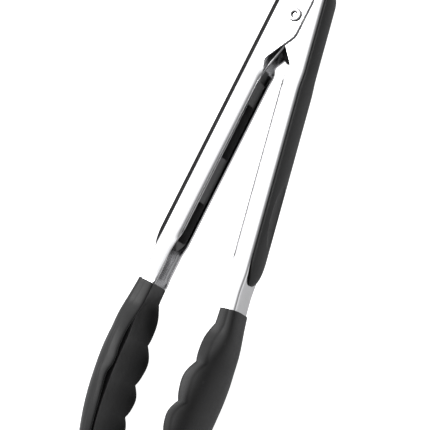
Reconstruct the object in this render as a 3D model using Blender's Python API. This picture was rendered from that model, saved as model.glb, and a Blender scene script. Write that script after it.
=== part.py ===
"""Spring loaded kitchen tongs with a pull-tab lock, soft grips and soft heads.

The tongs lie on their side and stand open.  +Z is the pivot axis, +Y points from
the heads to the hinge end, and the arms open along X.  An arm is described in its
own frame: s runs from the pivot to the head, x points away from the other arm,
z runs along the pivot axis.  Sizes are in millimetres until place() turns them
into metres.
"""
import math

import bmesh
import bpy
from mathutils import Vector

MM = 0.001

# --- the whole object ---------------------------------------------------------
HALF_OPENING_DEG = 5.95      # each arm's angle from the middle line when open
PIVOT_Y = 94.12              # pivot axis, measured from the middle of the length
PIVOT_Z = 18.82              # pivot axis above the surface the tongs lie on
GAP = 0.2                    # space between pieces that are pressed together

# --- steel arms ---------------------------------------------------------------
SHEET = 0.9
ARM_HALF_WIDTH = 8.5
INNER_EAR_HALF_WIDTH = 6.9   # the right arm's ears nest inside the left arm's
WEB_UPPER = 11.0             # outer face of the web along the grip
WEB_LOWER = 10.25            # outer face of the web below the grip
BEND = 1.7
LIP_ROLL = 2.5               # outer radius of the rolled flange edge
EAR_EDGE = -4.5
LIP_EDGE = 1.8
BARE_EDGE = 2.8              # flange edge between the grip and the head
SOCKET_EDGE = 4.2            # flange edge inside the head
FLANGE_END = 143.0
TONGUE_END = 158.0
TONGUE_HALF_WIDTH = 5.4
TONGUE_HOLES = (149.5, 154.5)
TONGUE_HOLE_RADIUS = 1.35
PEG_HOLES = (38.0, 58.0, 83.0, 106.0)
PEG_HOLE_RADIUS = 2.3
BORE_RADIUS = 2.06

# --- hinge --------------------------------------------------------------------
RIVET_RADIUS = 2.0
RIVET_HEAD_RADIUS = 3.3
RIVET_HEAD_HEIGHT = 1.3
RIVET_HOLLOW_RADIUS = 1.1
WASHER_RADIUS = 4.4
WASHER_THICKNESS = 0.45
BUSH_INNER = 2.3
BUSH_OUTER = 2.8
BUSH_HALF_LENGTH = 5.7
WIRE_RADIUS = 0.65
COIL_RADIUS = 3.75
COIL_TURNS = 4
COIL_TOP = 4.6
COIL_PITCH = 1.6
LEG_END = 31.0

# --- grips --------------------------------------------------------------------
GRIP_TOP = -14.6
GRIP_END = 124.0
GRIP_INSET = 0.6             # from the arm's side to the grip's side
GRIP_WALL = 1.0              # height of the grip's side
GRIP_CROWN = 1.9             # rise from the side to the middle
GRIP_UNDERCUT = 0.55
THUMB_REST = 91.0
THUMB_REST_HALF = 14.5
THUMB_REST_HALF_WIDTH = 4.9
THUMB_REST_DEPTH = 1.2
CORE_TOP = 33.0
CORE_END = 119.0
CORE_HALF_WIDTH = 7.2
CORE_FACE = 3.3
CORE_POCKET_FACE = 6.6
CORE_POCKETS = ((45.0, 72.0), (94.5, 115.0))
CORE_POCKET_HALF_WIDTH = 5.2
PEG_RADIUS = 2.05
SPRING_SEAT_TOP = 27.5
SPRING_SEAT_FACE = 4.3
NOSE_HALF_WIDTH = 5.8

# --- heads --------------------------------------------------------------------
HEAD_TOP = 137.0
HEAD_TIP = 228.0
SIDE_BAND = 5.0              # height of the proud side band, less towards the tip
SIDE_BAND_LOW = 3.2
BAND_STEP = 0.3              # how far the side band stands proud of the back
RIM_THICKNESS = 1.5
PALM_DISH = 2.4
SLOT_WIDTH = 3.6             # between the low wall and the palm
SLOT_DEPTH = 4.5
PLATE = 1.6                  # thickness of the stiff core inside the soft head
PLATE_SAG = 0.8              # how far its edges curve towards the other head
PLATE_NECK = 4.2             # half width of the core where it lies under the tongue
PLATE_DEPTH = 2.8            # from the head's back to the core's middle
PLATE_EDGE = 7.3             # distance from the core's edge to the head's edge
HEAD_RIVET_RADIUS = 1.25
HEAD_RIVET_SPACE = 2.35      # radius left open in the head for the rivets' ends
HEAD_HALF_WIDTHS = ((137, 9.6), (143, 9.7), (148, 10.2), (152, 11.6), (157, 13.8),
                    (163, 16.2), (170, 17.9), (178, 18.7), (187, 18.8), (197, 18.5),
                    (206, 17.2), (214, 14.7), (220, 11.6), (224.5, 8.0), (227, 4.6),
                    (228, 2.4))
HEAD_BACKS = ((137, 11.6), (143, 12.0), (150, 12.6), (162, 12.8), (175, 11.6),
              (184, 10.2), (190, 9.2), (197, 7.6), (211, 3.6), (222, 0.2), (228, -1.6))
HEAD_RIMS = ((137, 3.3), (146, 2.9), (163.3, 1.7), (182, -0.5), (197, -3.2),
             (212, -6.1), (222, -7.6), (228, -7.4))
HEAD_LOW_RIMS = ((137, 2.4), (150, 2.1), (156, 1.9), (161, 1.4), (166, 0.6), (170.4, -0.3),
                 (173.5, -1.1), (177.4, -1.3), (181.6, -0.7), (187.8, -1.9), (192.4, -3.0),
                 (198.8, -4.2), (205.8, -5.3), (212, -6.3), (222, -7.6), (228, -7.2))
PALM_EDGES = ((137, 2.8), (143, 3.2), (150, 3.0), (156, 2.3), (170, 0.3), (184, -1.2), (203, -3.8),
              (214, -5.6), (222, -6.8), (228, -6.8))
HEAD_LOBES = ((144.5, 163.3, 2.2), (163.3, 182, 2.8), (182, 197, 2.6), (197, 211, 2.3),
              (211, 225, 1.6))

# --- lock ---------------------------------------------------------------------
SLIDER_LOW_Z = -5.8
SLIDER_HIGH_Z = -3.9
SLIDER_HALF_WIDTH = 6.3
SHOULDER_HALF_WIDTH = 8.2
SLIDER_TRAVEL = 8.0
SLIDER_HEAD = 20.0           # lower end of the slider when it is pushed in
SLIDER_TOP = -24.0
TAB_START = -15.2
TAB_THICKNESS = 4.8
TAB_NECK_HALF_WIDTH = 5.6
TAB_HALF_WIDTH = 9.8
TAB_CENTRE = -29.5
TAB_HOLE_HALF_WIDTH = 4.9
TAB_RIVETS = (-17.4, -21.7)
TAB_RIVET_RADIUS = 1.1

ROUND = 24                   # facets of a small round piece

# colour, roughness, metallic
STEEL = ((0.80, 0.80, 0.79, 1.0), 0.25, 1.0)
SPRING_STEEL = ((0.62, 0.62, 0.62, 1.0), 0.30, 1.0)
SOFT_BLACK = ((0.018, 0.018, 0.019, 1.0), 0.75, 0.0)
HARD_BLACK = ((0.030, 0.030, 0.032, 1.0), 0.45, 0.0)
HEAD_BLACK = ((0.022, 0.022, 0.023, 1.0), 0.60, 0.0)
NYLON_WHITE = ((0.75, 0.75, 0.72, 1.0), 0.50, 0.0)


def clear_scene():
    for obj in list(bpy.data.objects):
        bpy.data.objects.remove(obj, do_unlink=True)


def smooth_table(table, s):
    """Value at s of a table of (s, value), eased by a cubic through its points."""
    if s <= table[0][0]:
        return table[0][1]
    if s >= table[-1][0]:
        return table[-1][1]
    i = 0
    while table[i + 1][0] < s:
        i += 1
    s0, v0 = table[i]
    s1, v1 = table[i + 1]
    step = s1 - s0
    m = (v1 - v0) / step
    before = m if i == 0 else (v0 - table[i - 1][1]) / (s0 - table[i - 1][0])
    after = m if i + 2 >= len(table) else (table[i + 2][1] - v1) / (table[i + 2][0] - s1)
    m0 = (before + m) / 2
    m1 = (after + m) / 2
    t = (s - s0) / step
    h0 = (1 + 2 * t) * (1 - t) ** 2
    h1 = t * (1 - t) ** 2
    h2 = t * t * (3 - 2 * t)
    h3 = t * t * (t - 1)
    return h0 * v0 + h1 * step * m0 + h2 * v1 + h3 * step * m1


def ease(a, b, s):
    """0 below a, 1 above b, smooth between them."""
    t = min(max((s - a) / (b - a), 0.0), 1.0)
    return t * t * (3 - 2 * t)


def straight(table, s):
    """Value at s of a table of (s, value), straight between its points."""
    if s <= table[0][0]:
        return table[0][1]
    for (s0, v0), (s1, v1) in zip(table, table[1:]):
        if s <= s1:
            return v0 + (v1 - v0) * (s - s0) / (s1 - s0)
    return table[-1][1]


def place(side, s, x, z):
    """A point of an arm's frame, or of the middle line's with side 0, in metres."""
    angle = math.radians(HALF_OPENING_DEG)
    if side == 0:
        return Vector((x * MM, (PIVOT_Y - s) * MM, (PIVOT_Z + z) * MM))
    across = side * (s * math.sin(angle) + x * math.cos(angle))
    along = PIVOT_Y - s * math.cos(angle) + x * math.sin(angle)
    return Vector((across * MM, along * MM, (PIVOT_Z + z) * MM))


def material(name, look):
    mat = bpy.data.materials.new(name)
    mat.use_nodes = True
    colour, roughness, metallic = look
    shader = mat.node_tree.nodes["Principled BSDF"]
    shader.inputs["Base Color"].default_value = colour
    shader.inputs["Roughness"].default_value = roughness
    shader.inputs["Metallic"].default_value = metallic
    mat.diffuse_color = colour
    return mat


def finish(name, bm, look, smooth_angle=35.0):
    """Turn a bmesh into a named object with its origin on the pivot axis."""
    bmesh.ops.recalc_face_normals(bm, faces=bm.faces)
    pivot = place(0, 0, 0, 0)
    bmesh.ops.translate(bm, verts=bm.verts, vec=-pivot)
    mesh = bpy.data.meshes.new(name)
    bm.to_mesh(mesh)
    bm.free()
    obj = bpy.data.objects.new(name, mesh)
    obj.location = pivot
    bpy.context.scene.collection.objects.link(obj)
    mesh.shade_smooth()
    mesh.set_sharp_from_angle(angle=math.radians(smooth_angle))
    if look is not None:
        mesh.materials.append(material(name + "_material", look))
    return obj


def loft(rings, fan=False):
    """A closed body through rings that have the same number of points.

    With fan, each end is closed by triangles about its middle.
    """
    bm = bmesh.new()
    rows = [[bm.verts.new(p) for p in ring] for ring in rings]
    count = len(rows[0])
    for low, high in zip(rows, rows[1:]):
        for i in range(count):
            j = (i + 1) % count
            bm.faces.new((low[i], low[j], high[j], high[i]))
    if not fan:
        bm.faces.new(rows[0])
        bm.faces.new(list(reversed(rows[-1])))
        return bm
    for row in (rows[0], list(reversed(rows[-1]))):
        middle = sum((v.co for v in row), Vector()) / count
        centre = bm.verts.new(middle)
        for i in range(count):
            bm.faces.new((row[i], row[(i + 1) % count], centre))
    return bm


def prism(side, outline, z0, z1):
    """A plate with an outline of (s, x) points between two z heights."""
    return loft([[place(side, s, x, z) for s, x in outline] for z in (z0, z1)])


def turned(side, s, x, profile, facets=ROUND):
    """A round body about an axis along z, from a profile of (radius, z)."""
    rings = []
    for radius, z in profile:
        ring = []
        for i in range(facets):
            a = 2 * math.pi * i / facets
            ring.append(place(side, s + radius * math.sin(a), x + radius * math.cos(a), z))
        rings.append(ring)
    return loft(rings)


def turned_across(side, s, profile, facets=ROUND):
    """A round body about an axis across the web, from a profile of (radius, x)."""
    rings = []
    for radius, x in profile:
        ring = []
        for i in range(facets):
            a = 2 * math.pi * i / facets
            ring.append(place(side, s + radius * math.sin(a), x, radius * math.cos(a)))
        rings.append(ring)
    return loft(rings)


def peg(side, s, radius, x0, x1, facets=ROUND):
    """A round bar across the web, from depth x0 to depth x1."""
    return turned_across(side, s, ((radius, x0), (radius, x1)), facets)


def boolean(target, tool_bm, operation):
    """Cut or join a body and keep only the result."""
    tool = finish("tool", tool_bm, None)
    mod = target.modifiers.new("tool", "BOOLEAN")
    mod.operation = operation
    mod.solver = "EXACT"
    mod.object = tool
    graph = bpy.context.evaluated_depsgraph_get()
    result = bpy.data.meshes.new_from_object(target.evaluated_get(graph))
    target.modifiers.clear()
    old = target.data
    name = old.name
    target.data = result
    bpy.data.meshes.remove(old)
    result.name = name
    result.shade_smooth()
    result.set_sharp_from_angle(angle=math.radians(35.0))
    bpy.data.objects.remove(tool, do_unlink=True)
    return target


def circle_outline(s, x, radius, facets=ROUND):
    points = []
    for i in range(facets):
        a = 2 * math.pi * i / facets
        points.append((s + radius * math.sin(a), x + radius * math.cos(a)))
    return points


# --- steel arms ---------------------------------------------------------------
EAR_OUTLINE = ((-14.0, 1.0), (-13.6, -1.2), (-12.4, -3.0), (-10.8, -4.1), (-9.0, EAR_EDGE),
               (7.6, EAR_EDGE), (9.0, -4.3), (10.2, -3.8), (11.4, -3.1), (22.6, 3.3),
               (23.6, 3.6), (24.6, 3.5), (27.0, 2.4), (29.0, 1.95), (31.0, LIP_EDGE),
               (112.0, LIP_EDGE), (120.0, BARE_EDGE), (136.2, BARE_EDGE), (138.2, SOCKET_EDGE),
               (FLANGE_END, SOCKET_EDGE))


def web_face(s):
    """Distance of the web's outer face from the pivot plane."""
    return WEB_UPPER + (WEB_LOWER - WEB_UPPER) * ease(118.0, 130.0, s)


def arm_half_width(side, s):
    """Half the arm's width; the right arm narrows to fit between the left's ears."""
    ear = ARM_HALF_WIDTH if side < 0 else INNER_EAR_HALF_WIDTH
    width = ear + (ARM_HALF_WIDTH - ear) * ease(23.5, 34.0, s)
    return width + (TONGUE_HALF_WIDTH - width) * ease(FLANGE_END, FLANGE_END + 3.0, s)


def flange_path(side, s):
    """Centre line of half the channel section as (x, z, normal x, normal z)."""
    half = SHEET / 2
    width = arm_half_width(side, s)
    face = web_face(s)
    bend = BEND - half
    points = [(face - half, 0.0, 1.0, 0.0), (face - half, (width - BEND) * 0.6, 1.0, 0.0)]
    for i in range(5):
        a = math.pi / 2 * i / 4
        points.append((face - BEND + bend * math.cos(a), width - BEND + bend * math.sin(a),
                       math.cos(a), math.sin(a)))
    roll = math.pi / 2 * ease(25.0, 36.0, s) * (1 - ease(108.0, 119.0, s))
    roll = max(roll, 0.001)
    tail = (LIP_ROLL - half) * math.pi / 2
    edge = straight(EAR_OUTLINE, s)
    tongue = ease(FLANGE_END, FLANGE_END + 3.0, s)
    tail += (0.4 - tail) * tongue
    edge += (face - BEND - 0.8 - edge) * tongue
    radius = tail / roll
    start = edge + half * math.sin(roll) + radius * math.sin(roll)
    z_edge = width - half
    for i in range(7):
        a = roll * i / 6
        points.append((start - radius * math.sin(a), z_edge - radius * (1 - math.cos(a)),
                       -math.sin(a), math.cos(a)))
    return points


def channel_ring(side, s, grow=0.0):
    """The closed outline of the sheet steel section at s, thickened by grow."""
    half = SHEET / 2 + grow
    path = flange_path(side, s)
    x, z, nx, nz = path[-1]
    path[-1] = (x - nz * grow, z + nx * grow, nx, nz)
    outer = [(x + nx * half, z + nz * half) for x, z, nx, nz in path]
    inner = [(x - nx * half, z - nz * half) for x, z, nx, nz in path]
    mirror_outer = [(x, -z) for x, z in outer[1:]]
    mirror_inner = [(x, -z) for x, z in inner[1:]]
    loop = list(reversed(mirror_outer)) + outer + list(reversed(inner)) + mirror_inner
    return [place(side, s, x, z) for x, z in loop]


def arm_stations():
    ends = [s for s, _ in EAR_OUTLINE]
    rolls = [26.0, 28.0, 30.0, 32.0, 34.0, 36.0, 108.0, 110.0, 114.0, 117.0, 119.0]
    webs = [121.0, 124.0, 127.0, 130.0]
    tongue = [FLANGE_END + 1.0, FLANGE_END + 2.0, FLANGE_END + 3.0, TONGUE_END]
    return sorted(set(ends + rolls + webs + tongue))


def build_arm(side, name):
    arm = finish(name, loft([channel_ring(side, s) for s in arm_stations()]), STEEL)
    reach = ARM_HALF_WIDTH + 2
    bore = turned(side, 0, 0, ((BORE_RADIUS, -reach), (BORE_RADIUS, reach)), 32)
    boolean(arm, bore, "DIFFERENCE")
    for s in PEG_HOLES:
        boolean(arm, peg(side, s, PEG_HOLE_RADIUS, CORE_FACE, WEB_UPPER + 2), "DIFFERENCE")
    for s in TONGUE_HOLES:
        boolean(arm, peg(side, s, TONGUE_HOLE_RADIUS, 7, WEB_UPPER + 2), "DIFFERENCE")
    return arm


# --- grips --------------------------------------------------------------------
def grip_shape(side, s):
    """Half width, side height and crown rise of the soft grip at s."""
    top = min((s - GRIP_TOP) / 6.0, 1.0)
    top = math.sqrt(max(1 - (1 - top) ** 2, 0.0))
    low = min((GRIP_END - s) / 13.0, 1.0)
    low = math.sqrt(max(1 - (1 - low) ** 2, 0.0))
    half_width = max((arm_half_width(side, s) - GRIP_INSET) * low, 0.9)
    full = (0.4 + 0.6 * top) * (0.45 + 0.55 * low)
    return half_width, GRIP_WALL * full, GRIP_CROWN * top * low


def grip_ring(side, s):
    """Section of the soft grip: flat on the web, undercut sides and a low crown."""
    half_width, wall, crown = grip_shape(side, s)
    seat = web_face(s) + GAP
    foot = half_width - min(GRIP_UNDERCUT, half_width * 0.4)
    half = [(seat, 0.0), (seat, foot), (seat + wall * 0.85, half_width)]
    for share in (1.0, 0.9, 0.75, 0.6, 0.45, 0.25, 0.0):
        z = half_width * share
        rise = crown * (1 - share ** 2.2)
        rest = 1 - (z / THUMB_REST_HALF_WIDTH) ** 2 - ((s - THUMB_REST) / THUMB_REST_HALF) ** 2
        rise -= THUMB_REST_DEPTH * max(rest, 0.0) ** 0.75
        half.append((seat + wall + rise, z))
    half[3] = (half[3][0], half_width - min(0.2, half_width * 0.1))
    mirror = [(x, -z) for x, z in half[1:-1]]
    return [place(side, s, x, z) for x, z in half + list(reversed(mirror))]


def grip_stations():
    steps = [GRIP_TOP, -14.2, -13.4, -12.2, -10.6, -8.5, -6.0, 0.0, 8.0, 16.0, 23.5, 26.0,
             28.5, 31.0, 34.0, 42.0, 52.0, 62.0, 70.0, 76.0]
    steps += [78.0, 81.0, 84.0, 87.0, 90.0, 93.0, 96.0, 99.0, 102.0, 105.0, 107.5]
    steps += [110.0, 112.0, 113.5, 114.5, 115.5, 116.5, 117.5, 118.5, 119.5, 121.0, 122.2]
    steps += [123.2, GRIP_END]
    return steps


def build_grip(side, name):
    return finish(name, loft([grip_ring(side, s) for s in grip_stations()]), SOFT_BLACK, 50.0)


def core_ring(side, s):
    """The moulded core fills the channel up to the rolled lips."""
    top = web_face(s) - SHEET - GAP
    low = SPRING_SEAT_FACE if s < CORE_TOP else CORE_FACE
    width = NOSE_HALF_WIDTH if s < CORE_TOP else CORE_HALF_WIDTH
    tip = max(1 - ((s - CORE_END + 7.0) / 7.0) ** 2, 0.02) if s > CORE_END - 7.0 else 1.0
    width *= math.sqrt(tip)
    corner = min(1.6 if s >= CORE_TOP else 0.5, width * 0.4)
    half = [(top, 0.0), (top, width - corner * 0.7), (top - corner * 0.7, width),
            (low + corner, width), (low + corner * 0.3, width - corner * 0.35),
            (low, width - corner), (low, 0.0)]
    mirror = [(x, -z) for x, z in half[1:-1]]
    return [place(side, s, x, z) for x, z in half + list(reversed(mirror))]


def core_stations():
    steps = [SPRING_SEAT_TOP, CORE_TOP - 0.01, CORE_TOP + 0.6, 60.0, 90.0, CORE_END - 7.0]
    return steps + [CORE_END - 4.5, CORE_END - 2.5, CORE_END - 1.2, CORE_END - 0.4, CORE_END]


def build_core(side, name):
    core = finish(name, loft([core_ring(side, s) for s in core_stations()]), HARD_BLACK)
    for s0, s1 in CORE_POCKETS:
        corner = 2.0
        outline = []
        for cs, cz, a0 in ((s1 - corner, 1, 0), (s0 + corner, 1, 90),
                           (s0 + corner, -1, 180), (s1 - corner, -1, 270)):
            for i in range(5):
                a = math.radians(a0 + 90.0 * i / 4)
                z = cz * (CORE_POCKET_HALF_WIDTH - corner) + corner * math.sin(a)
                outline.append((cs + corner * math.cos(a), z))
        rings = [[place(side, s, x, z) for s, z in outline] for x in (CORE_POCKET_FACE, 0.0)]
        boolean(core, loft(rings), "DIFFERENCE")
    for s in PEG_HOLES:
        face = web_face(s)
        boolean(core, peg(side, s, PEG_RADIUS, face - SHEET - 1.2, face - 0.05), "UNION")
    return core


# --- heads --------------------------------------------------------------------
def head_rim(s):
    """Distance of the scalloped rim from the pivot plane."""
    rim = smooth_table(HEAD_RIMS, s)
    for s0, s1, depth in HEAD_LOBES:
        if s0 < s < s1:
            t = (s - s0) / (s1 - s0)
            t += 0.08 * math.sin(math.pi * t) ** 2
            rim -= depth * math.sin(math.pi * t) ** 0.85
    return rim


def side_half(s, rim, width, sign):
    """One side's outline from its crest over the proud band and round the back."""
    back = smooth_table(HEAD_BACKS, s)
    band = SIDE_BAND + (SIDE_BAND_LOW - SIDE_BAND) * ease(174.0, 190.0, s)
    band = min(band, (back - rim) * 0.45)
    crest = min(RIM_THICKNESS, width * 0.35)
    step = min(BAND_STEP, width * 0.05)
    half = [(rim, width - crest * 0.7), (rim + 0.05, width - crest * 0.3),
            (rim + band * 0.2, width), (rim + band * 0.85, width)]
    start = min(smooth_table(HEAD_RIMS, s) + 1.5, rim + band)
    low = rim + band + 0.5
    boxy = 1 - ease(143.0, 164.0, s)
    for i in range(6):
        a = math.pi / 2 * i / 6
        x = low + (back - low) * math.sin(a)
        bulge = min(max((x - start) / (back - start), 0.0), 1.0) ** (2.2 + 4.5 * boxy)
        half.append((x, (width - step) * (1 - bulge) ** (0.5 - 0.12 * boxy)))
    return [(x, sign * z) for x, z in half]


def palm_half_width(s, width):
    """Distance from the middle to the palm's edge on the slotted side."""
    slot = ease(150.0, 164.0, s) * (1 - ease(212.0, 223.0, s))
    return max(width - min(RIM_THICKNESS, width * 0.35) - 0.8 - SLOT_WIDTH * slot, width * 0.45)


def head_outline(s):
    """The head's section at s.

    One side has the high scallops, the other a low wall with a slot beside the palm.
    """
    width = smooth_table(HEAD_HALF_WIDTHS, s)
    back = smooth_table(HEAD_BACKS, s)
    crest = min(RIM_THICKNESS, width * 0.35)
    high = head_rim(s)
    low = smooth_table(HEAD_LOW_RIMS, s)
    notch = smooth_table(HEAD_RIMS, s)
    palm = smooth_table(PALM_EDGES, s)
    edge = palm_half_width(s, width)
    dish = PALM_DISH * ease(HEAD_TOP, 150.0, s) * (1 - ease(212.0, 226.0, s))
    rise = 0.25 * ease(HEAD_TOP, 143.0, s)
    outline = []
    for u in (0.0, 0.15, 0.35, 0.55, 0.75, 0.88, 1.0):
        z = -edge + (edge + width - crest) * u
        x = palm + (notch + rise - palm) * u + dish * 4 * u * (1 - u) + (high - notch) * u ** 6
        outline.append((x, z))
    outline += side_half(s, high, width, 1) + [(back, 0.0)]
    outline += list(reversed(side_half(s, low, width, -1)))
    depth = min(SLOT_DEPTH, (back - palm) * 0.36)
    sunk = ((low + 0.4, -width + crest), (palm + depth, -width + crest + 0.6),
            (palm + depth, -edge - 0.15), (palm + 0.3, -edge - 0.1))
    slot = ease(150.0, 164.0, s) * (1 - ease(212.0, 223.0, s))
    for i, (x, z) in enumerate(sunk, 1):
        flat_x = low + (palm - low) * 0.2 * i
        flat_z = -width + crest * 0.7 + (width - crest * 0.7 - edge) * 0.2 * i
        outline.append((flat_x + (x - flat_x) * slot, flat_z + (z - flat_z) * slot))
    return outline


def head_ring(side, s):
    """Both heads are one moulding, so the right one is turned half round."""
    return [place(side, s, x, side * z) for x, z in head_outline(s)]


def head_stations():
    steps = [HEAD_TOP, HEAD_TOP + 0.7, 140.0, 143.0]
    for s0, s1, _ in HEAD_LOBES:
        steps += [s0 + (s1 - s0) * f for f in (0.0, 0.07, 0.22, 0.5, 0.78, 0.93)]
    return sorted(set(steps + [225.0, 226.4, 227.4, HEAD_TIP]))


def plate_ring(side, s, grow):
    """Section of the stiff core plate, grown on every side by grow."""
    width = smooth_table(HEAD_HALF_WIDTHS, s)
    half_width = max(width - PLATE_EDGE, 2.2) + grow
    if s < 165.0:
        half_width = min(half_width, PLATE_NECK + grow + 7.5 * ease(158.5, 165.0, s))
    middle = smooth_table(HEAD_BACKS, s) - PLATE_DEPTH
    seat = WEB_LOWER - SHEET - GAP - PLATE / 2
    middle = seat + (middle - seat) * ease(158.5, 167.0, s)
    low = middle - PLATE / 2 - grow
    high = middle + PLATE / 2 + grow
    sag = PLATE_SAG * ease(162.0, 172.0, s)
    half = [(low, 0.0), (low - sag * 0.25, half_width * 0.5), (low - sag, half_width),
            (high - sag, half_width), (high - sag * 0.25, half_width * 0.5), (high, 0.0)]
    mirror = [(x, -z) for x, z in half[1:-1]]
    return [place(side, s, x, z) for x, z in half + list(reversed(mirror))]


def plate_stations(extra):
    steps = [146.6 - extra, 158.5, 160.0, 161.5, 163.0, 164.5, 166.0, 168.0]
    return steps + [170.0, 172.0, 177.0, 182.0, 187.0, 192.0, 197.0, 202.0, 207.0, 211.0, 214.0 + extra]


def build_head_socket(side):
    """The space that the end of the steel arm takes up in the soft head."""
    steps = (HEAD_TOP - 3.0, 136.2, 138.2, FLANGE_END, FLANGE_END + 1.0, FLANGE_END + 2.0,
             FLANGE_END + 3.0, TONGUE_END + 0.4)
    return loft([channel_ring(side, s, GAP) for s in steps])


def build_head(side, name):
    rings = [head_ring(side, s) for s in head_stations()]
    head = finish(name, loft(rings, fan=True), HEAD_BLACK, 40.0)
    boolean(head, build_head_socket(side), "DIFFERENCE")
    plate = loft([plate_ring(side, s, GAP) for s in plate_stations(0.4)])
    boolean(head, plate, "DIFFERENCE")
    for s in TONGUE_HOLES:
        low = WEB_LOWER - SHEET - GAP - PLATE - 1.0
        boolean(head, peg(side, s, HEAD_RIVET_SPACE, low, WEB_LOWER + 1.0), "DIFFERENCE")
    return head


def build_plate(side, name):
    plate = finish(name, loft([plate_ring(side, s, 0.0) for s in plate_stations(0.0)]), HARD_BLACK)
    for s in TONGUE_HOLES:
        boolean(plate, peg(side, s, TONGUE_HOLE_RADIUS, 4, WEB_UPPER + 2), "DIFFERENCE")
    return plate


def build_head_rivet(side, s, name):
    """A domed rivet through the tongue and the stiff core."""
    low = WEB_LOWER - SHEET - GAP - PLATE - 0.1
    high = WEB_LOWER + 0.05
    shank = HEAD_RIVET_RADIUS
    profile = ((0.3, low - 0.65), (1.5, low - 0.5), (2.1, low), (shank, low), (shank, high),
               (2.1, high), (1.5, high + 0.5), (0.3, high + 0.65))
    return finish(name, turned_across(side, s, profile, 16), STEEL)


# --- hinge --------------------------------------------------------------------
def build_pivot_rivet():
    """A hollow rivet with a domed rim on both sides."""
    face = ARM_HALF_WIDTH + 0.05
    rim = face + RIVET_HEAD_HEIGHT
    half = [(RIVET_RADIUS, face), (RIVET_HEAD_RADIUS, face), (RIVET_HEAD_RADIUS, face + 0.25),
            (RIVET_HEAD_RADIUS - 0.3, rim - 0.45), (RIVET_HEAD_RADIUS - 0.9, rim - 0.05),
            (RIVET_HEAD_RADIUS - 1.4, rim), (RIVET_HOLLOW_RADIUS + 0.35, rim - 0.25),
            (RIVET_HOLLOW_RADIUS, rim - 0.9)]
    outer = [(r, -z) for r, z in reversed(half)] + half
    rings = []
    for radius, z in outer:
        ring = []
        for i in range(32):
            a = 2 * math.pi * i / 32
            ring.append(place(0, radius * math.sin(a), radius * math.cos(a), z))
        rings.append(ring)
    bm = bmesh.new()
    rows = [[bm.verts.new(p) for p in ring] for ring in rings]
    for lower, upper in zip(rows, rows[1:] + rows[:1]):
        for i in range(32):
            j = (i + 1) % 32
            bm.faces.new((lower[i], lower[j], upper[j], upper[i]))
    return finish("pivot_rivet", bm, STEEL)


def tube(name, look, inner, outer, z0, z1, facets=32):
    """A ring about the pivot axis."""
    bm = bmesh.new()
    rows = []
    for radius, z in ((inner, z0), (outer, z0), (outer, z1), (inner, z1)):
        row = []
        for i in range(facets):
            a = 2 * math.pi * i / facets
            row.append(bm.verts.new(place(0, radius * math.sin(a), radius * math.cos(a), z)))
        rows.append(row)
    for lower, upper in zip(rows, rows[1:] + rows[:1]):
        for i in range(facets):
            j = (i + 1) % facets
            bm.faces.new((lower[i], lower[j], upper[j], upper[i]))
    return finish(name, bm, look)


def spring_path():
    """Centre line of the wire: left leg, coil, right leg, in the middle line's frame."""
    half = math.radians(HALF_OPENING_DEG)
    seat = SPRING_SEAT_FACE - WIRE_RADIUS - GAP
    tip_s = LEG_END * math.cos(half) - seat * math.sin(half)
    tip_x = LEG_END * math.sin(half) + seat * math.cos(half)
    reach = math.hypot(tip_s, tip_x)
    start = math.acos(COIL_RADIUS / reach) - math.atan2(tip_x, tip_s)
    touch_s = COIL_RADIUS * math.cos(start)
    touch_x = COIL_RADIUS * math.sin(start)
    sweep = 2 * math.pi * COIL_TURNS - 2 * start
    low = COIL_TOP - COIL_PITCH * sweep / (2 * math.pi)
    points = []
    for t in (0.0, 0.35, 0.7, 0.93):
        points.append((tip_s + (touch_s - tip_s) * t, -tip_x + (touch_x + tip_x) * t, COIL_TOP))
    count = int(16 * sweep / (2 * math.pi))
    for i in range(count + 1):
        a = start + sweep * i / count
        z = COIL_TOP + (low - COIL_TOP) * i / count
        points.append((COIL_RADIUS * math.cos(a), COIL_RADIUS * math.sin(a), z))
    for t in (0.93, 0.7, 0.35, 0.0):
        points.append((tip_s + (touch_s - tip_s) * t, tip_x - (touch_x + tip_x) * t, low))
    return [place(0, s, x, z) for s, x, z in points]


def build_torsion_spring():
    """Round wire along the spring's centre line."""
    path = spring_path()
    rings = []
    up = Vector((0, 0, 1))
    for i, point in enumerate(path):
        ahead = path[min(i + 1, len(path) - 1)] - path[max(i - 1, 0)]
        ahead.normalize()
        side = ahead.cross(up).normalized()
        top = side.cross(ahead).normalized()
        ring = []
        for k in range(8):
            a = 2 * math.pi * k / 8
            ring.append(point + (side * math.cos(a) + top * math.sin(a)) * WIRE_RADIUS * MM)
        rings.append(ring)
    return finish("torsion_spring", loft(rings), SPRING_STEEL, 60.0)


def build_washers():
    """Thin washers that keep the two pairs of ears apart."""
    middle = (INNER_EAR_HALF_WIDTH + ARM_HALF_WIDTH - SHEET) / 2
    half = WASHER_THICKNESS / 2
    for sign, word in ((1, "near"), (-1, "far")):
        z0 = sign * middle - half
        tube(word + "_ear_washer", NYLON_WHITE, BUSH_INNER, WASHER_RADIUS, z0, z0 + 2 * half)


def build_bushing():
    reach = BUSH_HALF_LENGTH
    return tube("spring_bushing", HARD_BLACK, BUSH_INNER, BUSH_OUTER, -reach, reach)


# --- lock ---------------------------------------------------------------------
def mirrored(points):
    """A symmetrical outline from its right half, listed from top to bottom."""
    left = [(s, -x) for s, x in reversed(points) if x > 0.01]
    return list(points) + left


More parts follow.
